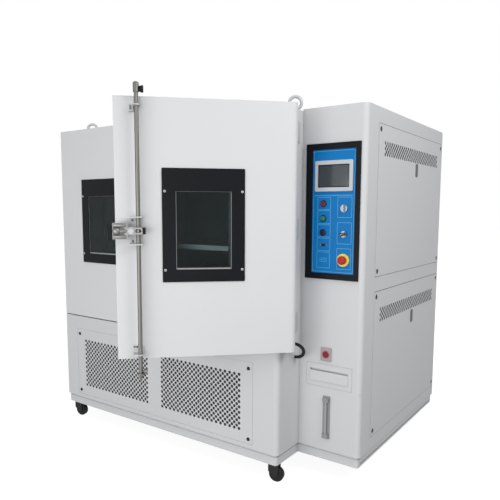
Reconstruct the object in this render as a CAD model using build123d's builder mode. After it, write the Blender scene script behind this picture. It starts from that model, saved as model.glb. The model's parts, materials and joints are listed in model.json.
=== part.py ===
from build123d import *
from math import cos, sin, radians
import os

os.makedirs("parts", exist_ok=True)

# Environmental test chamber on casters, with two insulated doors and a control cabinet on its right.
# x runs to the right along the front, y to the back, z up from the floor.
# The front plane is y = 0 and the chamber's right side is x = 0. Sizes are in millimetres.

# Overall sizes
CHAMBER_W = 1600
BODY_D = 1368
CABINET_W = 328
CABINET_SETBACK = 204
FLOOR_GAP = 95
PLINTH_H = 54
BASE_H = 514
DOOR_H = 1120
CABINET_RISE = 6
CORNER_R = 24
SHEET = 3
PLINTH_INSET = 10
PLINTH_WALL = 4
DECK_T = 16
REVEAL_H = 12
REVEAL_IN = 3

# Doors
DOOR_T = 100
DOOR_LINER_T = 10
SEAM = 6
GASKET_SPACE = 7
DOOR_OPEN = 44.36
WALL_T = 110
PLUG_T = 25

# Windows
WINDOW_W = 360
WINDOW_H = 492
WINDOW_UP = 581
GLASS_W = 242
GLASS_H = 338
GLASS_DROP = 22
RIGHT_WINDOW = 420
LEFT_WINDOW = 386
PANE_T = 6

# Hinges
HINGE_OUT = 19
HINGE_R = 9
HINGE_PIN_R = 5
HINGE_H = 94
HINGE_END = 107
RUN_GAP = 0.05

# Lock rod and lever
ROD_EDGE = 98
ROD_OUT = 38
ROD_R = 9
ROD_ABOVE = 50
ROD_BELOW = 91
ROD_TRAVEL = 20
LEVER_UP = 560
PIVOT_OFF = 29
PIVOT_R = 8
GRIP_OUT = 27
GRIP_H = 62
ROLLER_R = 11.5
ROLLER_PIN_R = 5
CRANK_R = 5
ROD_HEAD_R = 12.5
LEVER_T = 10
HUB_R = 18
FORK_H = 68
FORK_OUT = 7
BAR_GAP = 9
BRACKET_H = 120
STRIP_T = 5

# Casters
WHEEL_R = 37.5
WHEEL_W = 30
TRAIL = 22
AXLE_R = 5
CASTER_H = 103.7
CROWN_R = 27
CROWN_T = 5
CHEEK_T = 4
WHEEL_PLAY = 2
PAD_R = 30
FRONT_CASTER_IN = 46
BACK_CASTER_IN = 90
LEFT_CASTER_IN = 58
RIGHT_CASTER_IN = 54
REAR_CASTER_IN = 130

# Conduit between the door and the base
CONDUIT_R = 7

# Front access panel
PANEL_SIDE = 122
PANEL_W = 1334
PANEL_UP = 22
PANEL_H = 413
GRILLE_W = 545
GRILLE_H = 290
GRILLE_GAP = 101
GRILLE_UP = 59
GRILLE_ROWS = 11
PANEL_LIP = 15

# Control panel on the cabinet
FRAME_W = 277
FRAME_H = 634
FRAME_X = 163
FRAME_DROP = 484
FASCIA_W = 220
FASCIA_H = 576
FRAME_T = 8
BUTTON_R = 15
BUTTON_TRAVEL = 4

# Side panels and drawer
HAND_SLOT_W = 36
HAND_SLOT_H = 72
HAND_SLOT_IN = 545
VENT_SIDE = 80
VENT_ROWS = 5
VENT_PITCH = 14.5
VENT_H = 6
DRAWER_RUN = 420
PULL_H = 10

# Interior
BACK_SPACE = 230
SHELF_T = 26

# Derived levels
plinth_z = FLOOR_GAP
base_z = FLOOR_GAP + PLINTH_H
seam_z = base_z + BASE_H
door_z = seam_z + SEAM
door_top = door_z + DOOR_H
cabinet_top = door_top + CABINET_RISE
door_w = (CHAMBER_W - SEAM) / 2
front_y = DOOR_T + GASKET_SPACE + SHEET
mid_x = -CHAMBER_W / 2
hinge_y = front_y + 4
frame_z = cabinet_top - FRAME_DROP
HINGE_AXIS = Axis((HINGE_OUT, hinge_y, 0), (0, 0, 1))
MIRROR = Plane.YZ.offset(mid_x)
cav_x0 = -CHAMBER_W + WALL_T
cav_x1 = -WALL_T
cav_z0 = door_z + WALL_T - 6
cav_z1 = door_top - WALL_T
cav_y1 = BODY_D - WALL_T


def swing(shape):
    # A piece built on the closed right door, turned to where the door stands.
    return shape.rotate(HINGE_AXIS, DOOR_OPEN)


def block(x0, x1, y0, y1, z0, z1, mode=Mode.ADD):
    # A box between two corners.
    with Locations(((x0 + x1) / 2, (y0 + y1) / 2, (z0 + z1) / 2)):
        Box(x1 - x0, y1 - y0, z1 - z0, mode=mode)


def post(x, y, z0, z1, r, mode=Mode.ADD):
    # An upright round bar.
    with Locations((x, y, (z0 + z1) / 2)):
        Cylinder(r, z1 - z0, mode=mode)


def spindle(x, z, y0, y1, r, mode=Mode.ADD):
    # A round bar that runs from front to back.
    with Locations(Location((x, (y0 + y1) / 2, z), (90, 0, 0))):
        Cylinder(r, y1 - y0, mode=mode)


def cross_bar(y, z, x0, x1, r, mode=Mode.ADD):
    # A round bar that runs from left to right.
    with Locations(Location(((x0 + x1) / 2, y, z), (0, 90, 0))):
        Cylinder(r, x1 - x0, mode=mode)


# The frame's origin lies on the floor, under the middle of the whole with its door open
turned = radians(DOOR_OPEN)
lever_reach = ROD_OUT + ROD_R + 17
grip_reach = door_w + GRIP_OUT + HINGE_OUT
reach = grip_reach * sin(turned) + (lever_reach + hinge_y) * cos(turned) - hinge_y
frame_x = (CABINET_W + 2 - CHAMBER_W - HINGE_OUT - HINGE_R) / 2
frame_y = (BODY_D - reach) / 2


def settle(shape):
    # A finished piece, moved from the chamber's corner into the frame.
    return shape.moved(Location((-frame_x, -frame_y, 0)))


# ---- Base


def footprint(inset):
    # The L-shaped plan of the whole body, drawn in by the inset, with its visible corners rounded.
    with BuildSketch() as plan:
        with BuildLine():
            Polyline(
                (-CHAMBER_W + inset, inset),
                (-inset, inset),
                (-inset, CABINET_SETBACK + inset),
                (CABINET_W - inset, CABINET_SETBACK + inset),
                (CABINET_W - inset, BODY_D - inset),
                (-CHAMBER_W + inset, BODY_D - inset),
                close=True,
            )
        make_face()
        fillet(plan.vertices().group_by(Axis.Y)[0], CORNER_R - inset)
        fillet(plan.vertices().sort_by(Axis.X)[-2:], CORNER_R - inset)
    return plan.sketch


# Plinth: an L-shaped skirt with a deck on top, open below, with a pad over each caster.
# A narrow step below the deck leaves a shadow gap under the base housing.
caster_spots = [
    (-CHAMBER_W + LEFT_CASTER_IN, FRONT_CASTER_IN, 12),
    (-RIGHT_CASTER_IN, FRONT_CASTER_IN, 12),
    (-CHAMBER_W + REAR_CASTER_IN, BODY_D - BACK_CASTER_IN, 90),
    (CABINET_W - REAR_CASTER_IN, BODY_D - BACK_CASTER_IN, 30),
]
fork_top = CASTER_H
with BuildPart() as plinth:
    with BuildSketch(Plane.XY.offset(plinth_z)):
        add(footprint(PLINTH_INSET))
    extrude(amount=PLINTH_H - REVEAL_H)
    with BuildSketch(Plane.XY.offset(base_z - REVEAL_H)):
        add(footprint(PLINTH_INSET + REVEAL_IN))
    extrude(amount=REVEAL_H)
    with BuildSketch(Plane.XY.offset(plinth_z)):
        add(footprint(PLINTH_INSET + PLINTH_WALL))
    extrude(amount=PLINTH_H - DECK_T, mode=Mode.SUBTRACT)
    for x, y, turn in caster_spots:
        post(x, y, fork_top + 0.3, base_z - DECK_T + 1, PAD_R)
plinth.part = settle(plinth.part)
plinth.part.label = "plinth"
export_step(plinth.part, "parts/plinth.step")

# Casters: a forked swivel under each pad and a wheel on its axle
caster_names = ["front_left", "front_right", "back_left", "back_right"]
for caster_name, (x, y, turn) in zip(caster_names, caster_spots):
    ahead = Vector(cos(radians(turn)), sin(radians(turn)), 0)
    across = Vector(sin(radians(turn)), -cos(radians(turn)), 0)
    hub = Plane(origin=Vector(x, y, WHEEL_R) + ahead * TRAIL, x_dir=ahead, z_dir=across)
    stem = Plane(origin=(x, y, 0), x_dir=ahead, z_dir=(0, 0, 1))
    cheek_top = fork_top - 7 - CROWN_T - WHEEL_R
    with BuildPart() as fork:
        post(x, y, fork_top - 9, fork_top, CROWN_R)
        with BuildSketch(stem.offset(fork_top - 9 - CROWN_T)):
            with Locations((TRAIL / 2, 0)):
                RectangleRounded(TRAIL + 34, WHEEL_W + 2 * (WHEEL_PLAY + CHEEK_T) + 4, 6)
        extrude(amount=CROWN_T)
        for side in (-1, 1):
            cheek_mid = side * (WHEEL_W / 2 + WHEEL_PLAY + CHEEK_T / 2)
            with BuildSketch(hub.offset(cheek_mid - CHEEK_T / 2)) as cheek:
                with BuildLine():
                    Polyline(
                        (-11, -10),
                        (11, -10),
                        (14, cheek_top),
                        (-TRAIL - 16, cheek_top),
                        (-TRAIL - 16, 16),
                        close=True,
                    )
                make_face()
                fillet(cheek.vertices().group_by(Axis.Y)[0], 8)
            extrude(amount=CHEEK_T)
        with BuildSketch(hub.offset(-WHEEL_W / 2 - WHEEL_PLAY - CHEEK_T)):
            Circle(AXLE_R)
        extrude(amount=WHEEL_W + 2 * (WHEEL_PLAY + CHEEK_T))
    fork.part = settle(fork.part)
    fork.part.label = caster_name + "_caster_fork"
    export_step(fork.part, "parts/" + caster_name + "_caster_fork.step")
    with BuildPart() as wheel:
        with BuildSketch(hub.offset(-WHEEL_W / 2)):
            Circle(WHEEL_R)
        extrude(amount=WHEEL_W)
        chamfer(wheel.edges().filter_by(GeomType.CIRCLE), 5)
        with BuildSketch(hub.offset(-WHEEL_W / 2 - 1)):
            Circle(AXLE_R + RUN_GAP)
        extrude(amount=WHEEL_W + 2, mode=Mode.SUBTRACT)
    wheel.part = settle(wheel.part)
    wheel.part.label = caster_name + "_caster_wheel"
    export_step(wheel.part, "parts/" + caster_name + "_caster_wheel.step")

# Base housing: the sheet-steel machine room below the chamber, with a framed opening in front
panel_x0 = -CHAMBER_W + PANEL_SIDE
panel_x1 = panel_x0 + PANEL_W
panel_z0 = base_z + PANEL_UP
panel_z1 = panel_z0 + PANEL_H
with BuildPart() as base_housing:
    with BuildSketch(Plane.XY.offset(base_z)) as shell_plan:
        with Locations((mid_x, BODY_D / 2)):
            Rectangle(CHAMBER_W, BODY_D)
        fillet(shell_plan.vertices().group_by(Axis.Y)[0], CORNER_R)
    extrude(amount=BASE_H)
    with BuildSketch(Plane.XY.offset(base_z)) as room_plan:
        with Locations((mid_x, BODY_D / 2)):
            Rectangle(CHAMBER_W - 2 * SHEET, BODY_D - 2 * SHEET)
        fillet(room_plan.vertices().group_by(Axis.Y)[0], CORNER_R - SHEET)
    extrude(amount=BASE_H - SHEET, mode=Mode.SUBTRACT)
    with BuildSketch(Plane.XZ.offset(-SHEET)):
        with Locations(((panel_x0 + panel_x1) / 2, (panel_z0 + panel_z1) / 2)):
            Rectangle(PANEL_W + 2 * PANEL_LIP, PANEL_H + 2 * PANEL_LIP)
    extrude(amount=-SHEET)
    block(panel_x0 - 1, panel_x1 + 1, -1, SHEET, panel_z0 - 1, panel_z1 + 1, mode=Mode.SUBTRACT)
    lip_x0 = panel_x0 + PANEL_LIP
    lip_x1 = panel_x1 - PANEL_LIP
    block(lip_x0, lip_x1, 0, 3 * SHEET, panel_z0 + PANEL_LIP, panel_z1 - PANEL_LIP, mode=Mode.SUBTRACT)
base_housing.part = settle(base_housing.part)
base_housing.part.label = "base_housing"
export_step(base_housing.part, "parts/base_housing.step")

# Front access panel: lift-out sheet with two slotted grilles
with BuildPart() as front_panel:
    with BuildSketch(Plane.XZ):
        with Locations(((panel_x0 + panel_x1) / 2, (panel_z0 + panel_z1) / 2)):
            Rectangle(PANEL_W, PANEL_H)
        for side in (-1, 1):
            grille_x = (panel_x0 + panel_x1) / 2 + side * (GRILLE_GAP + GRILLE_W) / 2
            with Locations((grille_x, panel_z0 + GRILLE_UP + GRILLE_H / 2)):
                with GridLocations(0, GRILLE_H / GRILLE_ROWS, 1, GRILLE_ROWS):
                    Rectangle(GRILLE_W, GRILLE_H / GRILLE_ROWS * 0.42, mode=Mode.SUBTRACT)
    extrude(amount=-SHEET)
front_panel.part = settle(front_panel.part)
front_panel.part.label = "front_access_panel"
export_step(front_panel.part, "parts/front_access_panel.step")

# ---- Chamber

# Insulated carcass: painted skin and foam in one, open to the front
with BuildPart() as carcass:
    block(-CHAMBER_W, 0, front_y, BODY_D, seam_z, door_top - 2)
    block(cav_x0 - 2, cav_x1 + 2, front_y, cav_y1 + 2, cav_z0 - 2, cav_z1 + 2, mode=Mode.SUBTRACT)
    fillet(carcass.edges().filter_by(Axis.Z).group_by(Axis.Y)[-1], CORNER_R)
    fan_z = (cav_z0 + cav_z1) / 2 + 150
    spindle(mid_x, fan_z, cav_y1, BODY_D + 1, 30, mode=Mode.SUBTRACT)
carcass.part = settle(carcass.part)
carcass.part.label = "insulated_carcass"
export_step(carcass.part, "parts/insulated_carcass.step")

# Inner liner: welded stainless box with a folded flange the door gaskets meet
with BuildPart() as liner:
    block(cav_x0 - 2, cav_x1 + 2, front_y - SHEET, cav_y1 + 2, cav_z0 - 2, cav_z1 + 2)
    block(cav_x0 - 32, cav_x1 + 32, front_y - SHEET, front_y, cav_z0 - 32, cav_z1 + 32)
    block(cav_x0, cav_x1, front_y - SHEET - 1, cav_y1, cav_z0, cav_z1, mode=Mode.SUBTRACT)
    spindle(mid_x, fan_z, cav_y1 - 1, cav_y1 + 3, 30, mode=Mode.SUBTRACT)
liner.part = settle(liner.part)
liner.part.label = "inner_liner"
export_step(liner.part, "parts/inner_liner.step")

# Air baffle in front of the circulation space, with a fan inlet and a row of outlet slots
baffle_y = cav_y1 - BACK_SPACE
with BuildPart() as baffle:
    with BuildSketch(Plane.XZ.offset(-baffle_y)):
        with Locations((mid_x, (cav_z0 + cav_z1) / 2)):
            Rectangle(CHAMBER_W - 2 * WALL_T - 0.6, cav_z1 - cav_z0 - 0.6)
        with Locations((mid_x, fan_z)):
            Circle(90, mode=Mode.SUBTRACT)
        with Locations((mid_x, cav_z0 + 110)):
            with GridLocations(130, 40, 9, 3):
                Rectangle(96, 14, mode=Mode.SUBTRACT)
        with Locations((mid_x, cav_z1 - 50)):
            with GridLocations(130, 40, 9, 1):
                Rectangle(96, 14, mode=Mode.SUBTRACT)
    extrude(amount=-2)
baffle.part = settle(baffle.part)
baffle.part.label = "air_baffle"
export_step(baffle.part, "parts/air_baffle.step")

# Circulation fan: hub, blades and the shaft that runs through the back wall
with BuildPart() as fan:
    spindle(mid_x, fan_z, cav_y1 - 112, cav_y1 - 72, 26)
    with Locations(Location((mid_x, cav_y1 - 92, fan_z), (90, 0, 0))):
        with PolarLocations(20, 6):
            with Locations(Location((55, 0, 0), (32, 0, 0))):
                Box(110, 58, 3)
    spindle(mid_x, fan_z, cav_y1 - 73, BODY_D - 1, 8)
    spindle(mid_x, fan_z, cav_y1 + 30, BODY_D - 10, 29.7)
fan.part = settle(fan.part)
fan.part.label = "circulation_fan"
export_step(fan.part, "parts/circulation_fan.step")

# Shelf ladders on the two side walls, and a slatted shelf on the lower pair of rails
shelf_y0 = front_y + 60
shelf_y1 = baffle_y - 20
shelf_level = cav_z0 + 330
with BuildPart() as ladders:
    for x0, x1 in ((cav_x0 + 0.3, cav_x0 + 8.3), (cav_x1 - 8.3, cav_x1 - 0.3)):
        for y in (shelf_y0 + 60, shelf_y1 - 60):
            block(x0, x1, y - 15, y + 15, cav_z0 + 60, cav_z1 - 60)
    for level in (shelf_level, shelf_level + 280):
        block(cav_x0 + 7, cav_x0 + 28, shelf_y0, shelf_y1, level - 5, level - 0.3)
        block(cav_x1 - 28, cav_x1 - 7, shelf_y0, shelf_y1, level - 5, level - 0.3)
ladders.part = settle(ladders.part)
ladders.part.label = "shelf_ladders"
export_step(ladders.part, "parts/shelf_ladders.step")
with BuildPart() as shelf:
    with BuildSketch(Plane.XY.offset(shelf_level)):
        with Locations((mid_x, (shelf_y0 + shelf_y1) / 2)):
            Rectangle(CHAMBER_W - 2 * WALL_T - 24, shelf_y1 - shelf_y0)
            with GridLocations(148, 0, 9, 1):
                Rectangle(104, shelf_y1 - shelf_y0 - 60, mode=Mode.SUBTRACT)
    extrude(amount=4)
    block(cav_x0 + 12, cav_x1 - 12, shelf_y0, shelf_y0 + 4, shelf_level, shelf_level + SHELF_T)
shelf.part = settle(shelf.part)
shelf.part.label = "slatted_shelf"
export_step(shelf.part, "parts/slatted_shelf.step")

# Lifting eyebolts on the roof: a foot, a neck and a ring each
ring_turn = 35
with BuildPart() as eyebolts:
    for x in (-CHAMBER_W + 50, -50):
        with Locations((x, 215, door_top - 2)):
            Cylinder(20, 8, align=(Align.CENTER, Align.CENTER, Align.MIN))
            Cylinder(11, 20, align=(Align.CENTER, Align.CENTER, Align.MIN))
        with Locations(Location((x, 215, door_top + 43), (90, ring_turn, 0))):
            Torus(29, 8)
eyebolts.part = settle(eyebolts.part)
eyebolts.part.label = "lifting_eyebolts"
export_step(eyebolts.part, "parts/lifting_eyebolts.step")

# ---- Doors, each built closed as the right-hand one

window_z = door_z + WINDOW_UP
glass_z = window_z - GLASS_DROP
stay = 2 * PANE_T


def door_slab(window):
    # Painted slab with a rounded hinge edge and the window aperture.
    with BuildPart() as slab:
        with BuildSketch(Plane.XY.offset(door_z)) as plan:
            with Locations((-door_w / 2, (DOOR_T - DOOR_LINER_T) / 2)):
                Rectangle(door_w, DOOR_T - DOOR_LINER_T)
            fillet(plan.vertices().group_by(Axis.Y)[0].sort_by(Axis.X)[-1], CORNER_R)
            fillet(plan.vertices().group_by(Axis.Y)[0].sort_by(Axis.X)[0], 3)
        extrude(amount=DOOR_H)
        window_hole(window, -1, DOOR_T, 14)
    return slab.part


def window_hole(window, y0, y1, margin):
    # The window aperture, wider than the clear glass by the margin on every side.
    x0 = -window - GLASS_W / 2 - margin
    x1 = -window + GLASS_W / 2 + margin
    z0 = glass_z - GLASS_H / 2 - margin
    z1 = glass_z + GLASS_H / 2 + margin
    block(x0, x1, y0, y1, z0, z1, mode=Mode.SUBTRACT)


def door_pan(window):
    # Stainless back: a flat pan, a shallow plug that enters the chamber and the window tunnel.
    with BuildPart() as pan:
        block(-door_w + 4, -4, DOOR_T - DOOR_LINER_T, DOOR_T, door_z + 4, door_top - 4)
        block(-door_w + 37, cav_x1 - 12, DOOR_T, DOOR_T + PLUG_T, cav_z0 + 12, cav_z1 - 12)
        fillet(pan.edges().filter_by(Axis.Y).group_by(Axis.Y)[-1], 8)
        x0 = -window - GLASS_W / 2 - 13.7
        x1 = -window + GLASS_W / 2 + 13.7
        z0 = glass_z - GLASS_H / 2 - 13.7
        z1 = glass_z + GLASS_H / 2 + 13.7
        block(x0, x1, PANE_T + 0.6, DOOR_T, z0, z1)
        window_hole(window, PANE_T, DOOR_T + PLUG_T - stay, 3)
        window_hole(window, DOOR_T + PLUG_T - stay, DOOR_T + PLUG_T - PANE_T, 10)
        window_hole(window, DOOR_T + PLUG_T - PANE_T - 1, DOOR_T + PLUG_T + 1, 0)
    return pan.part


def door_gasket():
    # Square-section silicone ring on the door's back, a hair short of the liner flange.
    with BuildPart() as ring:
        with BuildSketch(Plane.XZ.offset(-DOOR_T)):
            with Locations(((-door_w + 4 + cav_x1 + 28) / 2, (cav_z0 + cav_z1) / 2)):
                Rectangle(door_w - 4 + cav_x1 + 28, cav_z1 - cav_z0 + 56)
            with Locations(((-door_w + 33 + cav_x1 - 8) / 2, (cav_z0 + cav_z1) / 2)):
                Rectangle(door_w - 33 + cav_x1 - 8, cav_z1 - cav_z0 - 12, mode=Mode.SUBTRACT)
        extrude(amount=-(GASKET_SPACE - 0.3))
    return ring.part


def window_frame(window):
    # Black trim plate with a wide band above the glass.
    with BuildPart() as trim:
        with BuildSketch(Plane.XZ.offset(0.3)):
            with Locations((-window, window_z)):
                RectangleRounded(WINDOW_W, WINDOW_H, 4)
            with Locations((-window, glass_z)):
                Rectangle(GLASS_W, GLASS_H, mode=Mode.SUBTRACT)
        extrude(amount=5)
        chamfer(trim.faces().sort_by(Axis.Y)[0].outer_wire().edges(), 1.5)
    return trim.part


def window_panes(window):
    # Outer and inner sheets of glass, held against the trim and the plug's lip.
    with BuildPart() as panes:
        with Locations((-window, PANE_T / 2 + 0.3, glass_z)):
            Box(GLASS_W + 27, PANE_T, GLASS_H + 27)
        with Locations((-window, DOOR_T + PLUG_T - stay + PANE_T / 2, glass_z)):
            Box(GLASS_W + 19.4, PANE_T - 0.6, GLASS_H + 19.4)
    return panes.part


def hinge_levels():
    return [door_z + HINGE_END, door_z + DOOR_H / 2, door_top - HINGE_END]


def door_leaves():
    # The door's half of each hinge: a plate on the slab's edge, an arm and the middle knuckle.
    third = HINGE_H / 3
    with BuildPart() as leaves:
        for level in hinge_levels():
            with BuildSketch(Plane.XY.offset(level - third / 2 + 0.5)):
                with BuildLine():
                    Polyline(
                        (0.3, 45),
                        (4.3, 45),
                        (4.3, DOOR_T - 14),
                        (HINGE_OUT + 5, hinge_y - 7),
                        (HINGE_OUT - 7, hinge_y + 4),
                        (0.3, DOOR_T - 8),
                        close=True,
                    )
                make_face()
                with Locations((HINGE_OUT, hinge_y)):
                    Circle(HINGE_R)
                    Circle(HINGE_PIN_R + RUN_GAP, mode=Mode.SUBTRACT)
            extrude(amount=third - 1)
    return leaves.part


def body_leaves():
    # The carcass's half: a plate on its side, two outer knuckles and the pin with its head.
    third = HINGE_H / 3
    with BuildPart() as leaves:
        for level in hinge_levels():
            block(0.3, 4.3, hinge_y + 8, hinge_y + 58, level - HINGE_H / 2, level + HINGE_H / 2)
            for low in (level - HINGE_H / 2, level + third / 2):
                with BuildSketch(Plane.XY.offset(low)):
                    with BuildLine():
                        Polyline(
                            (4.2, hinge_y + 26),
                            (4.2, hinge_y + 9),
                            (HINGE_OUT - 7, hinge_y - 2),
                            (HINGE_OUT + 4, hinge_y + 7),
                            close=True,
                        )
                    make_face()
                    with Locations((HINGE_OUT, hinge_y)):
                        Circle(HINGE_R)
                extrude(amount=third)
            post(HINGE_OUT, hinge_y, level - HINGE_H / 2 - 3, level + HINGE_H / 2 + 5, HINGE_PIN_R)
    return leaves.part


def cone_tip(x, y, z):
    # The tapered lower end of a rod, with the collar above it.
    with Locations((x, y, z)):
        Cone(4, ROD_R, 28, align=(Align.CENTER, Align.CENTER, Align.MIN))
    post(x, y, z + 28, z + 36, 14)


# Right door, standing open
with BuildPart() as right_slab:
    add(swing(door_slab(RIGHT_WINDOW)))
right_slab.part = settle(right_slab.part)
right_slab.part.label = "right_door_slab"
export_step(right_slab.part, "parts/right_door_slab.step")
with BuildPart() as right_pan:
    add(swing(door_pan(RIGHT_WINDOW)))
right_pan.part = settle(right_pan.part)
right_pan.part.label = "right_door_pan"
export_step(right_pan.part, "parts/right_door_pan.step")
with BuildPart() as right_gasket:
    add(swing(door_gasket()))
right_gasket.part = settle(right_gasket.part)
right_gasket.part.label = "right_door_gasket"
export_step(right_gasket.part, "parts/right_door_gasket.step")
with BuildPart() as right_frame:
    add(swing(window_frame(RIGHT_WINDOW)))
right_frame.part = settle(right_frame.part)
right_frame.part.label = "right_window_frame"
export_step(right_frame.part, "parts/right_window_frame.step")
with BuildPart() as right_panes:
    add(swing(window_panes(RIGHT_WINDOW)))
right_panes.part = settle(right_panes.part)
right_panes.part.label = "right_window_panes"
export_step(right_panes.part, "parts/right_window_panes.step")
with BuildPart() as right_leaves:
    add(swing(door_leaves()))
right_leaves.part = settle(right_leaves.part)
right_leaves.part.label = "right_hinge_door_leaves"
export_step(right_leaves.part, "parts/right_hinge_door_leaves.step")

# Left door, closed
with BuildPart() as left_slab:
    add(door_slab(LEFT_WINDOW))
    mirror(about=MIRROR, mode=Mode.REPLACE)
left_slab.part = settle(left_slab.part)
left_slab.part.label = "left_door_slab"
export_step(left_slab.part, "parts/left_door_slab.step")
with BuildPart() as left_pan:
    add(door_pan(LEFT_WINDOW))
    mirror(about=MIRROR, mode=Mode.REPLACE)
left_pan.part = settle(left_pan.part)
left_pan.part.label = "left_door_pan"
export_step(left_pan.part, "parts/left_door_pan.step")
with BuildPart() as left_gasket:
    add(door_gasket())
    mirror(about=MIRROR, mode=Mode.REPLACE)
left_gasket.part = settle(left_gasket.part)
left_gasket.part.label = "left_door_gasket"
export_step(left_gasket.part, "parts/left_door_gasket.step")
with BuildPart() as left_frame:
    add(window_frame(LEFT_WINDOW))
    mirror(about=MIRROR, mode=Mode.REPLACE)
left_frame.part = settle(left_frame.part)
left_frame.part.label = "left_window_frame"
export_step(left_frame.part, "parts/left_window_frame.step")
with BuildPart() as left_panes:
    add(window_panes(LEFT_WINDOW))
    mirror(about=MIRROR, mode=Mode.REPLACE)
left_panes.part = settle(left_panes.part)
left_panes.part.label = "left_window_panes"
export_step(left_panes.part, "parts/left_window_panes.step")
with BuildPart() as left_leaves:
    add(door_leaves())
    mirror(about=MIRROR, mode=Mode.REPLACE)
left_leaves.part = settle(left_leaves.part)
left_leaves.part.label = "left_hinge_door_leaves"
export_step(left_leaves.part, "parts/left_hinge_door_leaves.step")

# Carcass halves of all six hinges
with BuildPart() as carcass_leaves:
    add(body_leaves())
    mirror(about=MIRROR)
carcass_leaves.part = settle(carcass_leaves.part)
carcass_leaves.part.label = "hinge_carcass_leaves"
export_step(carcass_leaves.part, "parts/hinge_carcass_leaves.step")

# ---- Lock rod and lever on the right door

rod_x = -door_w + ROD_EDGE
rod_y = -ROD_OUT
rod_z0 = door_z - ROD_BELOW
rod_z1 = door_top + ROD_ABOVE
lever_z = door_z + LEVER_UP
pivot_x = rod_x - PIVOT_OFF
lever_y1 = rod_y - ROD_R - 3
lever_y0 = lever_y1 - LEVER_T
fork_x0 = -door_w - FORK_OUT
fork_x1 = pivot_x - HUB_R + 4

# The rod: rounded head above the door, tapered tip below it, crank pin and three side rollers
with BuildPart() as lock_rod:
    post(rod_x, rod_y, rod_z0 + 27, rod_z1 - 8, ROD_R)
    cone_tip(rod_x, rod_y, rod_z0)
    post(rod_x, rod_y, rod_z1 - 42, rod_z1, ROD_HEAD_R)
    fillet(lock_rod.faces().sort_by(Axis.Z)[-1].edges(), 8)
    spindle(rod_x, lever_z, lever_y0 - 6, rod_y, CRANK_R)
    for z in (rod_z1 - 29, lever_z, rod_z0 + 44):
        cross_bar(rod_y, z, rod_x, rod_x + 20, ROLLER_PIN_R)
        cross_bar(rod_y, z, rod_x + 14, rod_x + 29, ROLLER_R)
    add(swing(lock_rod.part), mode=Mode.REPLACE)
lock_rod.part = settle(lock_rod.part)
lock_rod.part.label = "lock_rod"
export_step(lock_rod.part, "parts/lock_rod.step")

# Guides: bent strips, a foot on the door and a bored shelf that stands out around the rod
with BuildPart() as guides:
    for z, out, foot in ((door_top - 42, 13, 38), (door_z + 26, 32, 30)):
        with BuildSketch(Plane.XY.offset(z - STRIP_T / 2)) as guide_shelf:
            with Locations(((rod_x - out + rod_x + 13) / 2, (rod_y - 13 - 0.3) / 2)):
                Rectangle(out + 13, ROD_OUT + 13 - 0.3)
            fillet(guide_shelf.vertices().group_by(Axis.Y)[0], 8)
            with Locations((rod_x, rod_y)):
                Circle(ROD_R + RUN_GAP, mode=Mode.SUBTRACT)
        extrude(amount=STRIP_T)
        block(rod_x - out, rod_x + 13, -0.3 - STRIP_T, -0.3, z, z + foot)
    fillet(guides.edges().filter_by(Axis.X).group_by(Axis.Y)[1], 2)
    block(rod_x - 33, rod_x - 13.5, -24, -0.3, door_top - 66, door_top - 38.5)
    block(rod_x - 28, rod_x - 19, -25, -8, door_top - 60, door_top - 30, mode=Mode.SUBTRACT)
    add(swing(guides.part), mode=Mode.REPLACE)
guides.part = settle(guides.part)
guides.part.label = "rod_guides"
export_step(guides.part, "parts/rod_guides.step")

# Lever bracket: back plate, two flanges bored for the rod and the pivot pin
with BuildPart() as lever_bracket:
    bracket_z0 = lever_z - BRACKET_H / 2
    bracket_z1 = lever_z + BRACKET_H / 2
    block(pivot_x - 10, rod_x + 16, -0.3 - STRIP_T, -0.3, bracket_z0, bracket_z1)
    for z in (bracket_z0, bracket_z1 - STRIP_T):
        block(pivot_x - 10, rod_x + 16, rod_y - 14, -STRIP_T, z, z + STRIP_T)
    post(rod_x, rod_y, bracket_z0 - 1, bracket_z1 + 1, ROD_R + RUN_GAP, mode=Mode.SUBTRACT)
    spindle(pivot_x, lever_z, lever_y0 - 2, -5, PIVOT_R)
    spindle(pivot_x, lever_z, lever_y0 - 5, lever_y0 - 0.3, PIVOT_R + 4)
    spindle(pivot_x, lever_z, lever_y1 + 0.3, -5, PIVOT_R + 4)
    add(swing(lever_bracket.part), mode=Mode.REPLACE)
lever_bracket.part = settle(lever_bracket.part)
lever_bracket.part.label = "lever_bracket"
export_step(lever_bracket.part, "parts/lever_bracket.step")

# Lever: bored hub, slotted arm over the crank pin and a three-bar fork that carries the grip
with BuildPart() as lever:
    with BuildSketch(Plane.XZ.offset(-lever_y1)) as lever_face:
        with Locations((pivot_x, lever_z)):
            Circle(HUB_R)
        with Locations((pivot_x + PIVOT_OFF - 4, lever_z)):
            RectangleRounded(44, 30, 8)
        with Locations(((fork_x0 + fork_x1) / 2, lever_z)):
            Rectangle(fork_x1 - fork_x0, FORK_H)
        for z in (-11.5, 11.5):
            with Locations(((fork_x0 + fork_x1) / 2 - 5, lever_z + z)):
                Rectangle(fork_x1 - fork_x0 - 16, BAR_GAP, mode=Mode.SUBTRACT)
        with Locations((pivot_x, lever_z)):
            Circle(PIVOT_R + RUN_GAP, mode=Mode.SUBTRACT)
        with Locations((rod_x, lever_z)):
            SlotOverall(26, 2 * CRANK_R + 4, mode=Mode.SUBTRACT)
    extrude(amount=LEVER_T)
    add(swing(lever.part), mode=Mode.REPLACE)
lever.part = settle(lever.part)
lever.part.label = "lock_lever"
export_step(lever.part, "parts/lock_lever.step")

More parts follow.
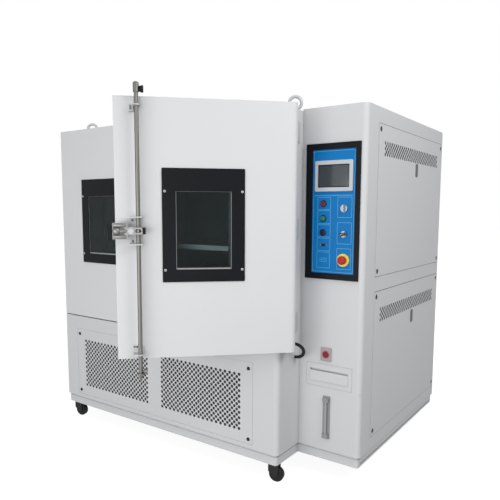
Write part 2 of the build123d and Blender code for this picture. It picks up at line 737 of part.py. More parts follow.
# Grip bar over the lever's outer end
with BuildPart() as grip:
    with BuildSketch(Plane.XZ.offset(-lever_y1 - 4)):
        with Locations((-door_w - (GRIP_OUT + 7.3) / 2, lever_z - 5)):
            RectangleRounded(GRIP_OUT - 7.3, GRIP_H, 6)
    extrude(amount=18)
    fillet(grip.faces().sort_by(Axis.Y)[0].edges(), 3)
    add(swing(grip.part), mode=Mode.REPLACE)
grip.part = settle(grip.part)
grip.part.label = "lever_grip"
export_step(grip.part, "parts/lever_grip.step")

# Keeper cup on the base housing that the rod's tip enters
cup_top = rod_z0 - 3
with BuildPart() as keeper:
    block(rod_x - 30, rod_x + 30, -5.3, -0.3, cup_top - 40, cup_top - 4)
    block(rod_x - 17, rod_x + 17, rod_y - 17, -5, cup_top - 26, cup_top)
    post(rod_x, rod_y, cup_top - 30, cup_top + 1, ROD_R + 2, mode=Mode.SUBTRACT)
keeper.part = settle(keeper.part)
keeper.part.label = "keeper_cup"
export_step(keeper.part, "parts/keeper_cup.step")

# Ribbed conduit from the open door's edge, looped to the side of the base housing
edge_out = Vector(cos(radians(DOOR_OPEN)), sin(radians(DOOR_OPEN)), 0)
edge_dx = 0.3 - HINGE_OUT
edge_dy = DOOR_T - 30 - hinge_y
start_x = HINGE_OUT + edge_dx * edge_out.X - edge_dy * edge_out.Y
start_y = hinge_y + edge_dx * edge_out.Y + edge_dy * edge_out.X
conduit_start = Vector(start_x, start_y, door_z + 24)
conduit_end = Vector(0.3, hinge_y + 42, seam_z - 59)
conduit_route = [
    conduit_start,
    conduit_start + edge_out * 34,
    Vector(86, hinge_y + 24, seam_z - 8),
    conduit_end + Vector(54, 0, 0),
    conduit_end,
]
with BuildPart() as conduit:
    with BuildLine() as conduit_path:
        FilletPolyline(*conduit_route, radius=17)
    with BuildSketch(Plane(origin=conduit_start, z_dir=conduit_path.line % 0)):
        Circle(CONDUIT_R)
    sweep()
conduit.part = settle(conduit.part)
conduit.part.label = "door_conduit"
export_step(conduit.part, "parts/door_conduit.step")

# ---- Control cabinet

side_y0 = CABINET_SETBACK + 131
side_y1 = BODY_D - 33
upper_z0 = cabinet_top - 789
upper_z1 = cabinet_top - 75
lower_z0 = base_z + 66
lower_z1 = cabinet_top - 865
drawer_z0 = base_z + 316
drawer_z1 = base_z + 430
drawer_x0 = 40
drawer_x1 = CABINET_W - 46
face_y = CABINET_SETBACK
with BuildPart() as cabinet:
    with BuildSketch(Plane.XY.offset(base_z)) as cabinet_plan:
        with Locations((CABINET_W / 2, (face_y + BODY_D) / 2)):
            Rectangle(CABINET_W - 0.6, BODY_D - face_y)
        fillet(cabinet_plan.vertices().sort_by(Axis.X)[-2:], CORNER_R)
    extrude(amount=cabinet_top - base_z)
    with BuildSketch(Plane.XY.offset(base_z + SHEET)) as cabinet_room:
        with Locations((CABINET_W / 2, (face_y + BODY_D) / 2)):
            Rectangle(CABINET_W - 0.6 - 2 * SHEET, BODY_D - face_y - 2 * SHEET)
        fillet(cabinet_room.vertices().sort_by(Axis.X)[-2:], CORNER_R - SHEET)
    extrude(amount=cabinet_top - base_z - 2 * SHEET, mode=Mode.SUBTRACT)
    with Locations((CABINET_W / 2, face_y + SHEET - 1, drawer_z0 - 2.3)):
        Box(CABINET_W - 2 * SHEET + 2, 440, 3, align=(Align.CENTER, Align.MIN, Align.MIN))
    block(drawer_x0, drawer_x1, face_y - 1, face_y + 10, drawer_z0, drawer_z1, mode=Mode.SUBTRACT)
    for z0, z1 in ((upper_z0, upper_z1), (lower_z0, lower_z1)):
        with Locations((CABINET_W, (side_y0 + side_y1) / 2, (z0 + z1) / 2)):
            Box(20, side_y1 - side_y0 - 40, z1 - z0 - 40, mode=Mode.SUBTRACT)
cabinet.part = settle(cabinet.part)
cabinet.part.label = "control_cabinet"
export_step(cabinet.part, "parts/control_cabinet.step")

# Two lift-off side panels, each with a band of slots and a hand slot
vent_y = (side_y0 + side_y1) / 2
for panel_name, z0, z1, vent_z, hand_z in (
    ("upper_side_panel", upper_z0, upper_z1, upper_z1 - 104, upper_z1 - 183),
    ("lower_side_panel", lower_z0, lower_z1, lower_z1 - 113, lower_z1 - 196),
):
    with BuildPart() as side_panel:
        with BuildSketch(Plane.YZ.offset(CABINET_W)):
            with Locations((vent_y, (z0 + z1) / 2)):
                Rectangle(side_y1 - side_y0, z1 - z0)
            with Locations((vent_y, vent_z)):
                with GridLocations(0, VENT_PITCH, 1, VENT_ROWS):
                    Rectangle(side_y1 - side_y0 - 2 * VENT_SIDE, VENT_H, mode=Mode.SUBTRACT)
            with Locations((side_y0 + HAND_SLOT_IN, hand_z)):
                SlotOverall(HAND_SLOT_H, HAND_SLOT_W, rotation=90, mode=Mode.SUBTRACT)
        extrude(amount=2)
    side_panel.part = settle(side_panel.part)
    side_panel.part.label = panel_name
    export_step(side_panel.part, "parts/" + panel_name + ".step")

# Control frame and fascia on the cabinet front
with BuildPart() as control_frame:
    with BuildSketch(Plane.XZ.offset(-face_y + 0.3)):
        with Locations((FRAME_X, frame_z)):
            RectangleRounded(FRAME_W, FRAME_H, 3)
        with Locations((FRAME_X + 6, frame_z)):
            Rectangle(FASCIA_W, FASCIA_H, mode=Mode.SUBTRACT)
    extrude(amount=FRAME_T)
    chamfer(control_frame.faces().sort_by(Axis.Y)[0].outer_wire().edges(), 2)
control_frame.part = settle(control_frame.part)
control_frame.part.label = "control_frame"
export_step(control_frame.part, "parts/control_frame.step")

fascia_front = face_y - 4.3
buttons_x = FRAME_X - 45
knobs_x = FRAME_X + 63
red_z = frame_z + 39
green_z = red_z - 69
black_z = green_z - 66
port_z = black_z - 65
sounder_z = port_z - 68
selector_z = frame_z + 17
key_z = selector_z - 119
stop_z = key_z - 120
with BuildPart() as fascia:
    with BuildSketch(Plane.XZ.offset(-face_y + 0.3)):
        with Locations((FRAME_X + 6, frame_z)):
            Rectangle(FASCIA_W - 0.6, FASCIA_H - 0.6)
        for z in (red_z, green_z, black_z):
            with Locations((buttons_x, z)):
                Circle(BUTTON_R - 3.5, mode=Mode.SUBTRACT)
    extrude(amount=4)
    for z in (red_z, green_z, black_z):
        with BuildSketch(Plane.XZ.offset(-fascia_front)):
            with Locations((buttons_x, z)):
                Circle(BUTTON_R)
                Circle(BUTTON_R - 3.5, mode=Mode.SUBTRACT)
        extrude(amount=6)
fascia.part = settle(fascia.part)
fascia.part.label = "control_fascia"
export_step(fascia.part, "parts/control_fascia.step")

# Touch screen: bezel with a sunk window, and the display behind it
hmi_z = frame_z + 166
with BuildPart() as hmi_bezel:
    with BuildSketch(Plane.XZ.offset(-fascia_front + 0.3)):
        with Locations((FRAME_X + 7, hmi_z)):
            RectangleRounded(192, 142, 6)
            Rectangle(160, 105, mode=Mode.SUBTRACT)
    extrude(amount=8)
    chamfer(hmi_bezel.faces().sort_by(Axis.Y)[0].outer_wire().edges(), 2)
hmi_bezel.part = settle(hmi_bezel.part)
hmi_bezel.part.label = "screen_bezel"
export_step(hmi_bezel.part, "parts/screen_bezel.step")
with BuildPart() as hmi_screen:
    with BuildSketch(Plane.XZ.offset(-fascia_front + 0.3)):
        with Locations((FRAME_X + 7, hmi_z)):
            Rectangle(159.4, 104.4)
    extrude(amount=4)
hmi_screen.part = settle(hmi_screen.part)
hmi_screen.part.label = "touch_screen"
export_step(hmi_screen.part, "parts/touch_screen.step")

# Three push buttons that sink into their collars
for button_name, z in (("stop_button", red_z), ("start_button", green_z), ("light_button", black_z)):
    with BuildPart() as button:
        spindle(buttons_x, z, fascia_front - 9, face_y - 0.3 - BUTTON_TRAVEL, BUTTON_R - 3.6)
        fillet(button.faces().sort_by(Axis.Y)[0].edges(), 1.5)
    button.part = settle(button.part)
    button.part.label = button_name
    export_step(button.part, "parts/" + button_name + ".step")

# Selector: turned base ring and a bar knob
with BuildPart() as selector:
    spindle(knobs_x, selector_z, fascia_front - 7, fascia_front - 0.3, 17)
    block(knobs_x - 4, knobs_x + 4, fascia_front - 20, fascia_front - 6.9, selector_z - 15, selector_z + 15)
    fillet(selector.edges().filter_by(Axis.Y).group_by(Axis.Y)[0], 2)
selector.part = settle(selector.part)
selector.part.label = "selector_knob"
export_step(selector.part, "parts/selector_knob.step")

# Key switch: barrel with the key standing in it
with BuildPart() as key_switch:
    spindle(knobs_x, key_z, fascia_front - 8, fascia_front - 0.3, 15)
    block(knobs_x - 1.2, knobs_x + 1.2, fascia_front - 30, fascia_front - 7, key_z - 9, key_z + 9)
key_switch.part = settle(key_switch.part)
key_switch.part.label = "key_switch"
export_step(key_switch.part, "parts/key_switch.step")

# Emergency stop: yellow collar and a mushroom head on a stem
with BuildPart() as stop_collar:
    spindle(knobs_x, stop_z, fascia_front - 6.3, fascia_front - 0.3, 30)
    spindle(knobs_x, stop_z, fascia_front - 7, fascia_front, 11.6, mode=Mode.SUBTRACT)
stop_collar.part = settle(stop_collar.part)
stop_collar.part.label = "emergency_stop_collar"
export_step(stop_collar.part, "parts/emergency_stop_collar.step")
with BuildPart() as stop_head:
    spindle(knobs_x, stop_z, fascia_front - 28, fascia_front - 14, 20)
    fillet(stop_head.faces().sort_by(Axis.Y)[0].edges(), 5)
    spindle(knobs_x, stop_z, fascia_front - 15, fascia_front - 6, 11.5)
stop_head.part = settle(stop_head.part)
stop_head.part.label = "emergency_stop_head"
export_step(stop_head.part, "parts/emergency_stop_head.step")

# Mains indicator: square plate with a round red lens
with BuildPart() as lamp_plate:
    with BuildSketch(Plane.XZ.offset(-face_y + 0.3)):
        with Locations((146, base_z + 480)):
            RectangleRounded(56, 66, 4)
            Circle(16.3, mode=Mode.SUBTRACT)
    extrude(amount=6)
lamp_plate.part = settle(lamp_plate.part)
lamp_plate.part.label = "indicator_plate"
export_step(lamp_plate.part, "parts/indicator_plate.step")
with BuildPart() as lamp_lens:
    spindle(146, base_z + 480, face_y - 11, face_y - 0.3, 16)
    fillet(lamp_lens.faces().sort_by(Axis.Y)[0].edges(), 4)
lamp_lens.part = settle(lamp_lens.part)
lamp_lens.part.label = "indicator_lens"
export_step(lamp_lens.part, "parts/indicator_lens.step")

# Water drawer: open tray behind a front with a finger recess over a raised pad
pull_z = drawer_z1 - 38
with BuildPart() as drawer:
    block(drawer_x0 + 1, drawer_x1 - 1, face_y, face_y + DRAWER_RUN, drawer_z0 + 1, drawer_z1 - 1)
    with Locations(((drawer_x0 + drawer_x1) / 2, face_y + 14, drawer_z0 + 3)):
        Box(
            drawer_x1 - drawer_x0 - 6,
            DRAWER_RUN - 16,
            drawer_z1 - drawer_z0,
            align=(Align.CENTER, Align.MIN, Align.MIN),
            mode=Mode.SUBTRACT,
        )
    with BuildSketch(Plane.XZ.offset(-face_y)) as pull_pad:
        with Locations(((drawer_x0 + drawer_x1) / 2, (drawer_z0 + 26 + pull_z) / 2)):
            Rectangle(drawer_x1 - drawer_x0 - 40, pull_z - drawer_z0 - 26)
        fillet(pull_pad.vertices(), 4)
    extrude(amount=4)
    fillet(drawer.faces().sort_by(Axis.Y)[0].edges(), 2.5)
    with Locations(((drawer_x0 + drawer_x1) / 2, face_y - 5, pull_z)):
        Box(
            drawer_x1 - drawer_x0 - 40,
            17,
            PULL_H,
            align=(Align.CENTER, Align.MIN, Align.MIN),
            mode=Mode.SUBTRACT,
        )
drawer.part = settle(drawer.part)
drawer.part.label = "water_drawer"
export_step(drawer.part, "parts/water_drawer.step")

# Sight gauge: backing bar with end blocks and the clear tube
gauge_x = 153
with BuildPart() as gauge:
    block(gauge_x - 19, gauge_x + 19, face_y - 3.3, face_y - 0.3, base_z + 60, base_z + 274)
    for z in (base_z + 66, base_z + 246):
        block(gauge_x - 14, gauge_x + 14, face_y - 20, face_y - 3, z, z + 22)
gauge.part = settle(gauge.part)
gauge.part.label = "level_gauge"
export_step(gauge.part, "parts/level_gauge.step")
with BuildPart() as gauge_tube:
    post(gauge_x, face_y - 12, base_z + 88.3, base_z + 245.7, 6)
gauge_tube.part = settle(gauge_tube.part)
gauge_tube.part.label = "gauge_tube"
export_step(gauge_tube.part, "parts/gauge_tube.step")

# ---- Machinery behind the grilles

with BuildPart() as compressor:
    block(-1300, -1060, 250, 470, base_z + 0.3, base_z + 12)
    post(-1180, 360, base_z + 11, base_z + 330, 95)
    fillet(compressor.faces().sort_by(Axis.Z)[-1].edges(), 40)
    cross_bar(360, base_z + 200, -1110, -1030, 18)
compressor.part = settle(compressor.part)
compressor.part.label = "compressor"
export_step(compressor.part, "parts/compressor.step")

with BuildPart() as condenser:
    block(-760, -200, 120, 190, base_z + 0.3, base_z + 400)
    spindle(-480, base_z + 200, 189, 230, 175)
    spindle(-480, base_z + 200, 195, 231, 165, mode=Mode.SUBTRACT)
    spindle(-480, base_z + 200, 189, 290, 45)
condenser.part = settle(condenser.part)
condenser.part.label = "condenser"
export_step(condenser.part, "parts/condenser.step")
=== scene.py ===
import json
from math import cos, pi, radians, sin

import bmesh
import bpy
from mathutils import Matrix, Vector
from mathutils.geometry import delaunay_2d_cdt


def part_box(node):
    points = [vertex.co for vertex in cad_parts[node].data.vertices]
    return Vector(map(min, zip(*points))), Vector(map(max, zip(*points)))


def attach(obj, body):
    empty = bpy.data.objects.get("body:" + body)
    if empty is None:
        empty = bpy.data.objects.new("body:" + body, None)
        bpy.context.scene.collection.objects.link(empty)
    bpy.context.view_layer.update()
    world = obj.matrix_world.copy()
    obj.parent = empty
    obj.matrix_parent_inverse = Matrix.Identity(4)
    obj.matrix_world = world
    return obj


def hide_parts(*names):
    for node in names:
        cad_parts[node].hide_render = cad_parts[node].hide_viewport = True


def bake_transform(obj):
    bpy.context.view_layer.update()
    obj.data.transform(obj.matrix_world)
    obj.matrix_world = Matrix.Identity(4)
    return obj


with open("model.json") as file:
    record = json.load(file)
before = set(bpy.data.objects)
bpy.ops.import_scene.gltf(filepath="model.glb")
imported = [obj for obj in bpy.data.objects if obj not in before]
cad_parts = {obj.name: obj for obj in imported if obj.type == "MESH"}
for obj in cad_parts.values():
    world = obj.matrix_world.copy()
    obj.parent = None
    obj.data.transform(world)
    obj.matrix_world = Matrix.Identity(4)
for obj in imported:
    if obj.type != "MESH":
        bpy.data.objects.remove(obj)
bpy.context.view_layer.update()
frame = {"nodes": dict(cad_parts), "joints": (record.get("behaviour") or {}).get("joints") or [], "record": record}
nodes = frame["nodes"]
MM = 0.001

# ---- Sizes in millimetres that the nodes' boxes don't give

DOOR_EDGE_X = -797.0  # the right door's free edge when it is shut
DOOR_FOOT_Z = 669.0
LEVER_Z = DOOR_FOOT_Z + 560
ROD_X, ROD_Y = DOOR_EDGE_X + 98, -38
RIGHT_WINDOW_X = -420.0
GLASS_HALF = (121.0, 169.0)
GLASS_DROP = 22  # from the window frame's middle down to the glass's
WINDOW_SCREW_IN = 12
WINDOW_SCREW_UPS = (-193, 147)  # from the window frame's middle

SHEET = 1.0
FRONT_HOLE_R = 8.5
GRILLE_LEFTS = (71, 716)
GRILLE_Z = 57
GRILLE_W, GRILLE_H = 545, 294
GRILLE_STEPS = (36, 20)  # across and down
GRILLE_LAP = 5  # how far a dark sheet of painted shade reaches past the holes

# For each side panel, from its top edge down: the hand slot's middle and the vent's top
SIDE_PANELS = (("upper", 183, 73), ("lower", 196, 82))
SIDE_HOLE_R = 8.8
VENT_FRONT, VENT_BACK, VENT_H = 70, 90, 72
VENT_STEPS = (56, 4)
VENT_LAP = 4
SLOT_ALONG = 0.545  # of the panel's width, from its front
SLOT_HALF_W, SLOT_HALF_H = 22, 36
RIM_W, RIM_H = 34, 36
SIDE_SCREW_IN, SIDE_SCREW_UP = 22, 24
SIDE_SCREW_HOLE_R = 13.0
LINE_THICK, LINE_OUT = 0.3, 0.05
PLINTH_LINE_IN = 40

PANEL_SCREW_R = 9.0
SIDE_SCREW_R = 12.2
SIDE_SCREW_FLAT = 0.12  # keeps the heads inside the CAD box
WINDOW_SCREW_R = 5.5
FASCIA_SCREW_R = 3.6
SOCKET_SCREW_R = 2.4
ROD_SCREW_R = 5

# The fascia's two columns of printed frames: their sides, then each frame's foot and top
PRINTED_COLUMNS = (
    ((28, 97), ((299, 357), (233, 295), (170, 229), (105, 166), (24, 100))),
    ((132, 204), ((262, 357), (140, 240), (22, 120))),
)
DOT_MID, DOT_STEP, DOT_R = 62, 8, 1.9
SOCKET_UP = 133
KEY_TILT = radians(-52)

# Turned forms: radius, height
COLLAR_PROFILE = ((11.6, 0), (11.6, 7.4), (14, 7.4), (16.6, 3), (17, 0))
BAR_PROFILE = ((0, 0), (6.6, 0), (8.6, 3), (8.6, 51), (6.6, 54), (0, 54))
DOME_PROFILE = ((15, 0), (14.2, 2.5), (10.5, 5), (5.5, 6.6), (0, 7))
SLEEVE_PROFILE = (
    (0, 12), (11.6, 12), (11.8, 18.6), (14.2, 18.6), (14.6, 20), (14.6, 28.4), (13.2, 30), (0, 30)
)

# The conduit, in metres: its two radii, and how far out the points lie that steer its ends straight on
RIB_R, GROOVE_R = 0.0080, 0.0067
LEAD_OUT, LEAD_IN = 0.034, 0.054
CONDUIT_STEPS, CONDUIT_SIDES = 120, 14

# ---- Places read from the frame

corner_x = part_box("insulated_carcass")[1][0]
corner_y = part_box("base_housing")[0][1]
hinge = next(j for j in frame["joints"] if j["name"] == "right_door_swing")
HINGE_AT = Vector(hinge["pos_m"])
DOOR_TURN = radians(-hinge["range_deg"][0])
SWING = Matrix.Translation(HINGE_AT) @ Matrix.Rotation(DOOR_TURN, 4, "Z") @ Matrix.Translation(-HINGE_AT)


def at(x, y, z):
    # A point given in millimetres from the chamber's front right corner on the floor.
    return Vector((corner_x + x * MM, corner_y + y * MM, z * MM))


def box_mm(node):
    # A node's low corner and its size, in the millimetres that at() takes.
    low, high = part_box(node)
    corner = ((low[0] - corner_x) / MM, (low[1] - corner_y) / MM, low[2] / MM)
    return corner, [(b - a) / MM for a, b in zip(low, high)]


def front_middle(node):
    # The middle of the front of a node's box.
    (x, y, z), (wide, _, tall) = box_mm(node)
    return x + wide / 2, y, z + tall / 2


# ---- Materials

DRIFT_SCALE, DRIFT_DETAIL = 3.5, 5.0
GRAIN_DETAIL, GRAIN_DEPTH = 2.0, 0.0006
# How far the painted shade in hollows looks for nearby surfaces
SHADE_REACH = 0.03
WORN_R, WORN_SPOTS = 0.0012, 60.0
WORN_FROM, WORN_FULL = 0.995, 0.93  # cosine between the true and the rounded normal
LOOK_SAMPLES = 4
COAT_ROUGH = 0.08


def feed(tree, source, socket):
    # Links a node's output to an input, or sets the input to a plain value.
    if isinstance(source, bpy.types.NodeSocket):
        tree.links.new(source, socket)
    else:
        socket.default_value = source


def add(tree, kind, **sources):
    # A new shader node with its inputs fed; an underscore stands for the space in an input's name.
    node = tree.nodes.new("ShaderNode" + kind)
    for name, source in sources.items():
        feed(tree, source, node.inputs[name.replace("_", " ")])
    return node


def maths(tree, operation, a, b, kind="Math"):
    # The result of a maths node, or of a vector maths node.
    node = tree.nodes.new("ShaderNode" + kind)
    node.operation = operation
    feed(tree, a, node.inputs[0])
    feed(tree, b, node.inputs[1])
    return node.outputs["Value"]


def mixed(tree, factor, a, b):
    # The colour that a factor gives between a and b.
    node = tree.nodes.new("ShaderNodeMix")
    node.data_type = "RGBA"
    feed(tree, factor, node.inputs["Factor"])
    feed(tree, a, node.inputs["A"])
    feed(tree, b, node.inputs["B"])
    return node.outputs["Result"]


def scaled(color, by):
    # A colour times a number, at most white, with its alpha.
    return [min(1.0, c * by) for c in color] + [1]


def surface(
    name, color, rough, metal=0.0, vary=0.05, rough_vary=0.08, grain=900.0, bump=0.06, stretch=(1, 1, 1),
    edge=0.0, edge_color=(0.75, 0.75, 0.75), crevice_shade=0.0, coat=0.0, shine=0.5
):
    # A painted, moulded or metal surface with drift of colour, uneven gloss, fine relief, worn edges and, if
    # asked, painted shade in its hollows.
    mat = bpy.data.materials.new(name)
    mat.use_nodes = True
    tree = mat.node_tree
    spot = add(tree, "TexCoord").outputs["Object"]
    stretched = add(tree, "Mapping", Scale=stretch, Vector=spot).outputs["Vector"]
    drift = add(tree, "TexNoise", Scale=DRIFT_SCALE, Detail=DRIFT_DETAIL, Vector=stretched).outputs["Fac"]
    tone = mixed(tree, drift, scaled(color, 1 - vary), scaled(color, 1 + vary))
    # Painted shade: the colour darkens where ambient occlusion finds nearby surfaces, in hollows and between parts
    if crevice_shade:
        shade = add(tree, "AmbientOcclusion", Distance=SHADE_REACH)
        shade.samples = LOOK_SAMPLES
        tone = mixed(tree, shade.outputs["AO"], scaled(color, 1 - crevice_shade), tone)
    if edge:
        bevel = add(tree, "Bevel", Radius=WORN_R)
        bevel.samples = LOOK_SAMPLES
        normal = add(tree, "NewGeometry").outputs["Normal"]
        agree = maths(tree, "DOT_PRODUCT", bevel.outputs["Normal"], normal, "VectorMath")
        worn = add(tree, "MapRange", From_Min=WORN_FROM, From_Max=WORN_FULL, To_Max=edge, Value=agree)
        spots = add(tree, "TexNoise", Scale=WORN_SPOTS, Vector=spot).outputs["Fac"]
        broken = maths(tree, "MULTIPLY", worn.outputs["Result"], spots)
        tone = mixed(tree, broken, tone, list(edge_color) + [1])
    smoothest, roughest = max(0.02, rough - rough_vary), min(1.0, rough + rough_vary)
    gloss = add(tree, "MapRange", To_Min=smoothest, To_Max=roughest, Value=drift)
    fine = add(tree, "TexNoise", Scale=grain, Detail=GRAIN_DETAIL, Vector=stretched).outputs["Fac"]
    relief = add(tree, "Bump", Strength=bump, Distance=GRAIN_DEPTH, Height=fine)
    values = {
        "Base Color": tone,
        "Metallic": metal,
        "Roughness": gloss.outputs["Result"],
        "Specular IOR Level": shine,
        "Normal": relief.outputs["Normal"],
    }
    if coat:
        values["Coat Weight"] = coat
        values["Coat Roughness"] = COAT_ROUGH
    for key, source in values.items():
        feed(tree, source, tree.nodes["Principled BSDF"].inputs[key])
    return mat


def glass(name, color, rough, transmission):
    # Clear or coated glass with a breath of uneven gloss.
    mat = surface(name, color, rough, vary=0.1, rough_vary=0.01, grain=40.0, bump=0.001)
    shader = mat.node_tree.nodes["Principled BSDF"]
    shader.inputs["Transmission Weight"].default_value = transmission
    shader.inputs["IOR"].default_value = 1.22
    return mat


brushed_up = (60, 60, 2)
brushed_along = (2, 60, 60)
looks = {
    "painted_shell": surface(
        "painted_shell", (0.63, 0.635, 0.65), 0.42, vary=0.018, grain=700.0, bump=0.10, edge=0.35,
        edge_color=(0.8, 0.8, 0.8), crevice_shade=0.25, shine=0.2
    ),
    "painted_door": surface(
        "painted_door", (0.68, 0.685, 0.70), 0.40, vary=0.016, grain=700.0, bump=0.10, edge=0.35,
        edge_color=(0.82, 0.82, 0.83), crevice_shade=0.2, shine=0.2
    ),
    "stainless": surface(
        "stainless", (0.48, 0.48, 0.475), 0.36, metal=1.0, vary=0.06, grain=40.0, bump=0.12,
        stretch=brushed_along, edge=0.3, crevice_shade=0.2
    ),
    "bright_steel": surface(
        "bright_steel", (0.165, 0.16, 0.148), 0.46, metal=1.0, vary=0.08, grain=60.0, bump=0.05,
        stretch=brushed_up, edge=0.3, crevice_shade=0.3
    ),
    "zinc_steel": surface(
        "zinc_steel", (0.52, 0.53, 0.54), 0.50, metal=0.2, vary=0.12, grain=300.0, bump=0.08, shine=0.2,
        edge=0.3, crevice_shade=0.25
    ),
    "black_trim": surface(
        "black_trim", (0.006, 0.007, 0.009), 0.42, vary=0.2, grain=900.0, bump=0.06, edge=0.3,
        edge_color=(0.06, 0.06, 0.07), shine=0.10
    ),
    "black_rubber": surface(
        "black_rubber", (0.006, 0.006, 0.007), 0.6, vary=0.2, grain=500.0, bump=0.2, shine=0.2
    ),
    "silicone": surface("silicone", (0.52, 0.52, 0.51), 0.55, vary=0.05, grain=400.0, bump=0.15, crevice_shade=0.3),
    "window_glass": glass("window_glass", (0.42, 0.50, 0.52), 0.0, 1.0),
    "blue_fascia": surface(
        "blue_fascia", (0.002, 0.175, 0.48), 0.45, vary=0.10, grain=900.0, bump=0.05, shine=0.15
    ),
    "grey_plastic": surface(
        "grey_plastic", (0.52, 0.54, 0.56), 0.45, vary=0.03, grain=1200.0, bump=0.12, edge=0.3
    ),
    "screen": surface("screen", (0.030, 0.040, 0.048), 0.12, vary=0.2, grain=30.0, bump=0.0, coat=0.6),
    "red_plastic": surface(
        "red_plastic", (0.42, 0.014, 0.016), 0.4, vary=0.1, grain=700.0, bump=0.04, shine=0.25
    ),
    "green_plastic": surface(
        "green_plastic", (0.006, 0.20, 0.11), 0.25, vary=0.1, grain=700.0, bump=0.04, coat=0.4
    ),
    "dark_plastic": surface(
        "dark_plastic", (0.006, 0.010, 0.035), 0.25, vary=0.2, grain=700.0, bump=0.05, coat=0.2, shine=0.3
    ),
    "yellow_plastic": surface("yellow_plastic", (0.86, 0.66, 0.06), 0.4, vary=0.05, grain=700.0, bump=0.06),
    "clear_tube": surface(
        "clear_tube", (0.33, 0.34, 0.345), 0.25, vary=0.06, grain=500.0, bump=0.04, coat=0.2
    ),
    "dark_iron": surface(
        "dark_iron", (0.010, 0.010, 0.011), 0.45, vary=0.2, grain=300.0, bump=0.15, edge=0.3,
        edge_color=(0.12, 0.12, 0.12), shine=0.25
    ),
    "copper_fin": surface(
        "copper_fin", (0.52, 0.52, 0.51), 0.4, metal=1.0, vary=0.1, grain=30.0, bump=0.3, stretch=(60, 1, 1)
    ),
    "wheel": surface(
        "wheel", (0.007, 0.007, 0.008), 0.5, vary=0.3, grain=250.0, bump=0.2, edge=0.3,
        edge_color=(0.05, 0.05, 0.05), shine=0.2
    ),
    "conduit": surface("conduit", (0.007, 0.007, 0.008), 0.5, vary=0.2, grain=300.0, bump=0.1, shine=0.2),
}
gauge_grey = surface("gauge_grey", (0.27, 0.275, 0.28), 0.35, vary=0.06, grain=800.0, bump=0.08)
plate_grey = surface(
    "plate_grey", (0.33, 0.315, 0.32), 0.4, metal=0.3, vary=0.08, grain=300.0, bump=0.08,
    stretch=brushed_along
)
chrome = surface("chrome", (0.26, 0.27, 0.29), 0.30, metal=1.0, vary=0.08, grain=60.0, bump=0.03)
lever_grey = surface("lever_grey", (0.17, 0.17, 0.17), 0.45, metal=0.6, vary=0.15, grain=90.0, bump=0.08)
lever_steel = surface(
    "lever_steel", (0.20, 0.20, 0.198), 0.42, metal=1.0, vary=0.12, grain=90.0, bump=0.06, edge=0.3,
    edge_color=(0.5, 0.5, 0.5)
)
pressed_red = surface("pressed_red", (0.19, 0.012, 0.03), 0.35, vary=0.15, grain=700.0, bump=0.04, shine=0.3)
print_red = surface("print_red", (0.50, 0.17, 0.17), 0.45, vary=0.05, grain=700.0, bump=0.04)
screw_bright = surface("screw_bright", (0.62, 0.63, 0.64), 0.35, metal=0.3, vary=0.08, grain=300.0, bump=0.05)
edge_strip = surface("edge_strip", (0.34, 0.34, 0.33), 0.5, vary=0.08, grain=400.0, bump=0.1)
# Painted shade: the dark grey of the flat sheet that stands for the shaded hollow behind each hand slot
slot_shade_grey = surface("slot_shade_grey", (0.10, 0.108, 0.092), 0.6, vary=0.25, grain=600.0, bump=0.1)
# The grey of the painted shadow lines by the side panels and along the plinth
shadow_line_grey = surface("shadow_line_grey", (0.16, 0.165, 0.17), 0.6, vary=0.1, grain=600.0, bump=0.05)
light_line = surface("light_line", (0.12, 0.42, 0.74), 0.4, vary=0.03, bump=0.03)
# Near black: painted shade in holes, screw recesses and behind perforations, and the key switch's black centre
dark_hole = surface("dark_hole", (0.006, 0.006, 0.007), 0.7, vary=0.2, bump=0.05)
screw_black = surface(
    "screw_black", (0.008, 0.008, 0.009), 0.45, vary=0.2, grain=600.0, bump=0.1, edge=0.2,
    edge_color=(0.1, 0.1, 0.1), shine=0.2
)
special = {
    "level_gauge": gauge_grey,
    "indicator_plate": plate_grey,
    "selector_knob": chrome,
    "key_switch": chrome,
    "lock_lever": lever_steel,
    "lever_bracket": looks["zinc_steel"],
    "rod_guides": looks["zinc_steel"],
    "stop_button": pressed_red,
    "indicator_lens": pressed_red,
}
for sub in frame["record"]["subparts"]:
    mesh = nodes[sub["node"]].data
    mesh.materials.clear()
    mesh.materials.append(special.get(sub["node"], looks[sub["material_slot"]]))


# ---- Mesh helpers


def piece(name, mesh, mat, body, turned=False, smooth=False):
    # Adds a mesh to the scene, on a body, with its material.
    if turned:
        mesh.transform(SWING)
    if smooth:
        for face in mesh.polygons:
            face.use_smooth = True
    mesh.materials.append(mat)
    obj = bpy.data.objects.new(name, mesh)
    bpy.context.scene.collection.objects.link(obj)
    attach(obj, body)
    return obj


def ring_points(u, v, r, count):
    # Points round a circle, anticlockwise.
    return [(u + r * cos(2 * pi * k / count), v + r * sin(2 * pi * k / count)) for k in range(count)]


def rounded(u0, u1, v0, v1, r, steps=4):
    # A rectangle's outline with round corners, anticlockwise.
    points = []
    for cu, cv, start in (
        (u1 - r, v0 + r, -90), (u1 - r, v1 - r, 0), (u0 + r, v1 - r, 90), (u0 + r, v0 + r, 180)
    ):
        for k in range(steps + 1):
            a = radians(start + 90 * k / steps)
            points.append((cu + r * cos(a), cv + r * sin(a)))
    return points


def around(u, v, half_w, half_h, r):
    # The same outline, given by its middle.
    return rounded(u - half_w, u + half_w, v - half_h, v + half_h, r)


def finished(mesh_bm, name):
    # The mesh of a bmesh, with its faces turned outwards.
    bmesh.ops.recalc_face_normals(mesh_bm, faces=mesh_bm.faces)
    mesh = bpy.data.meshes.new(name)
    mesh_bm.to_mesh(mesh)
    mesh_bm.free()
    return mesh


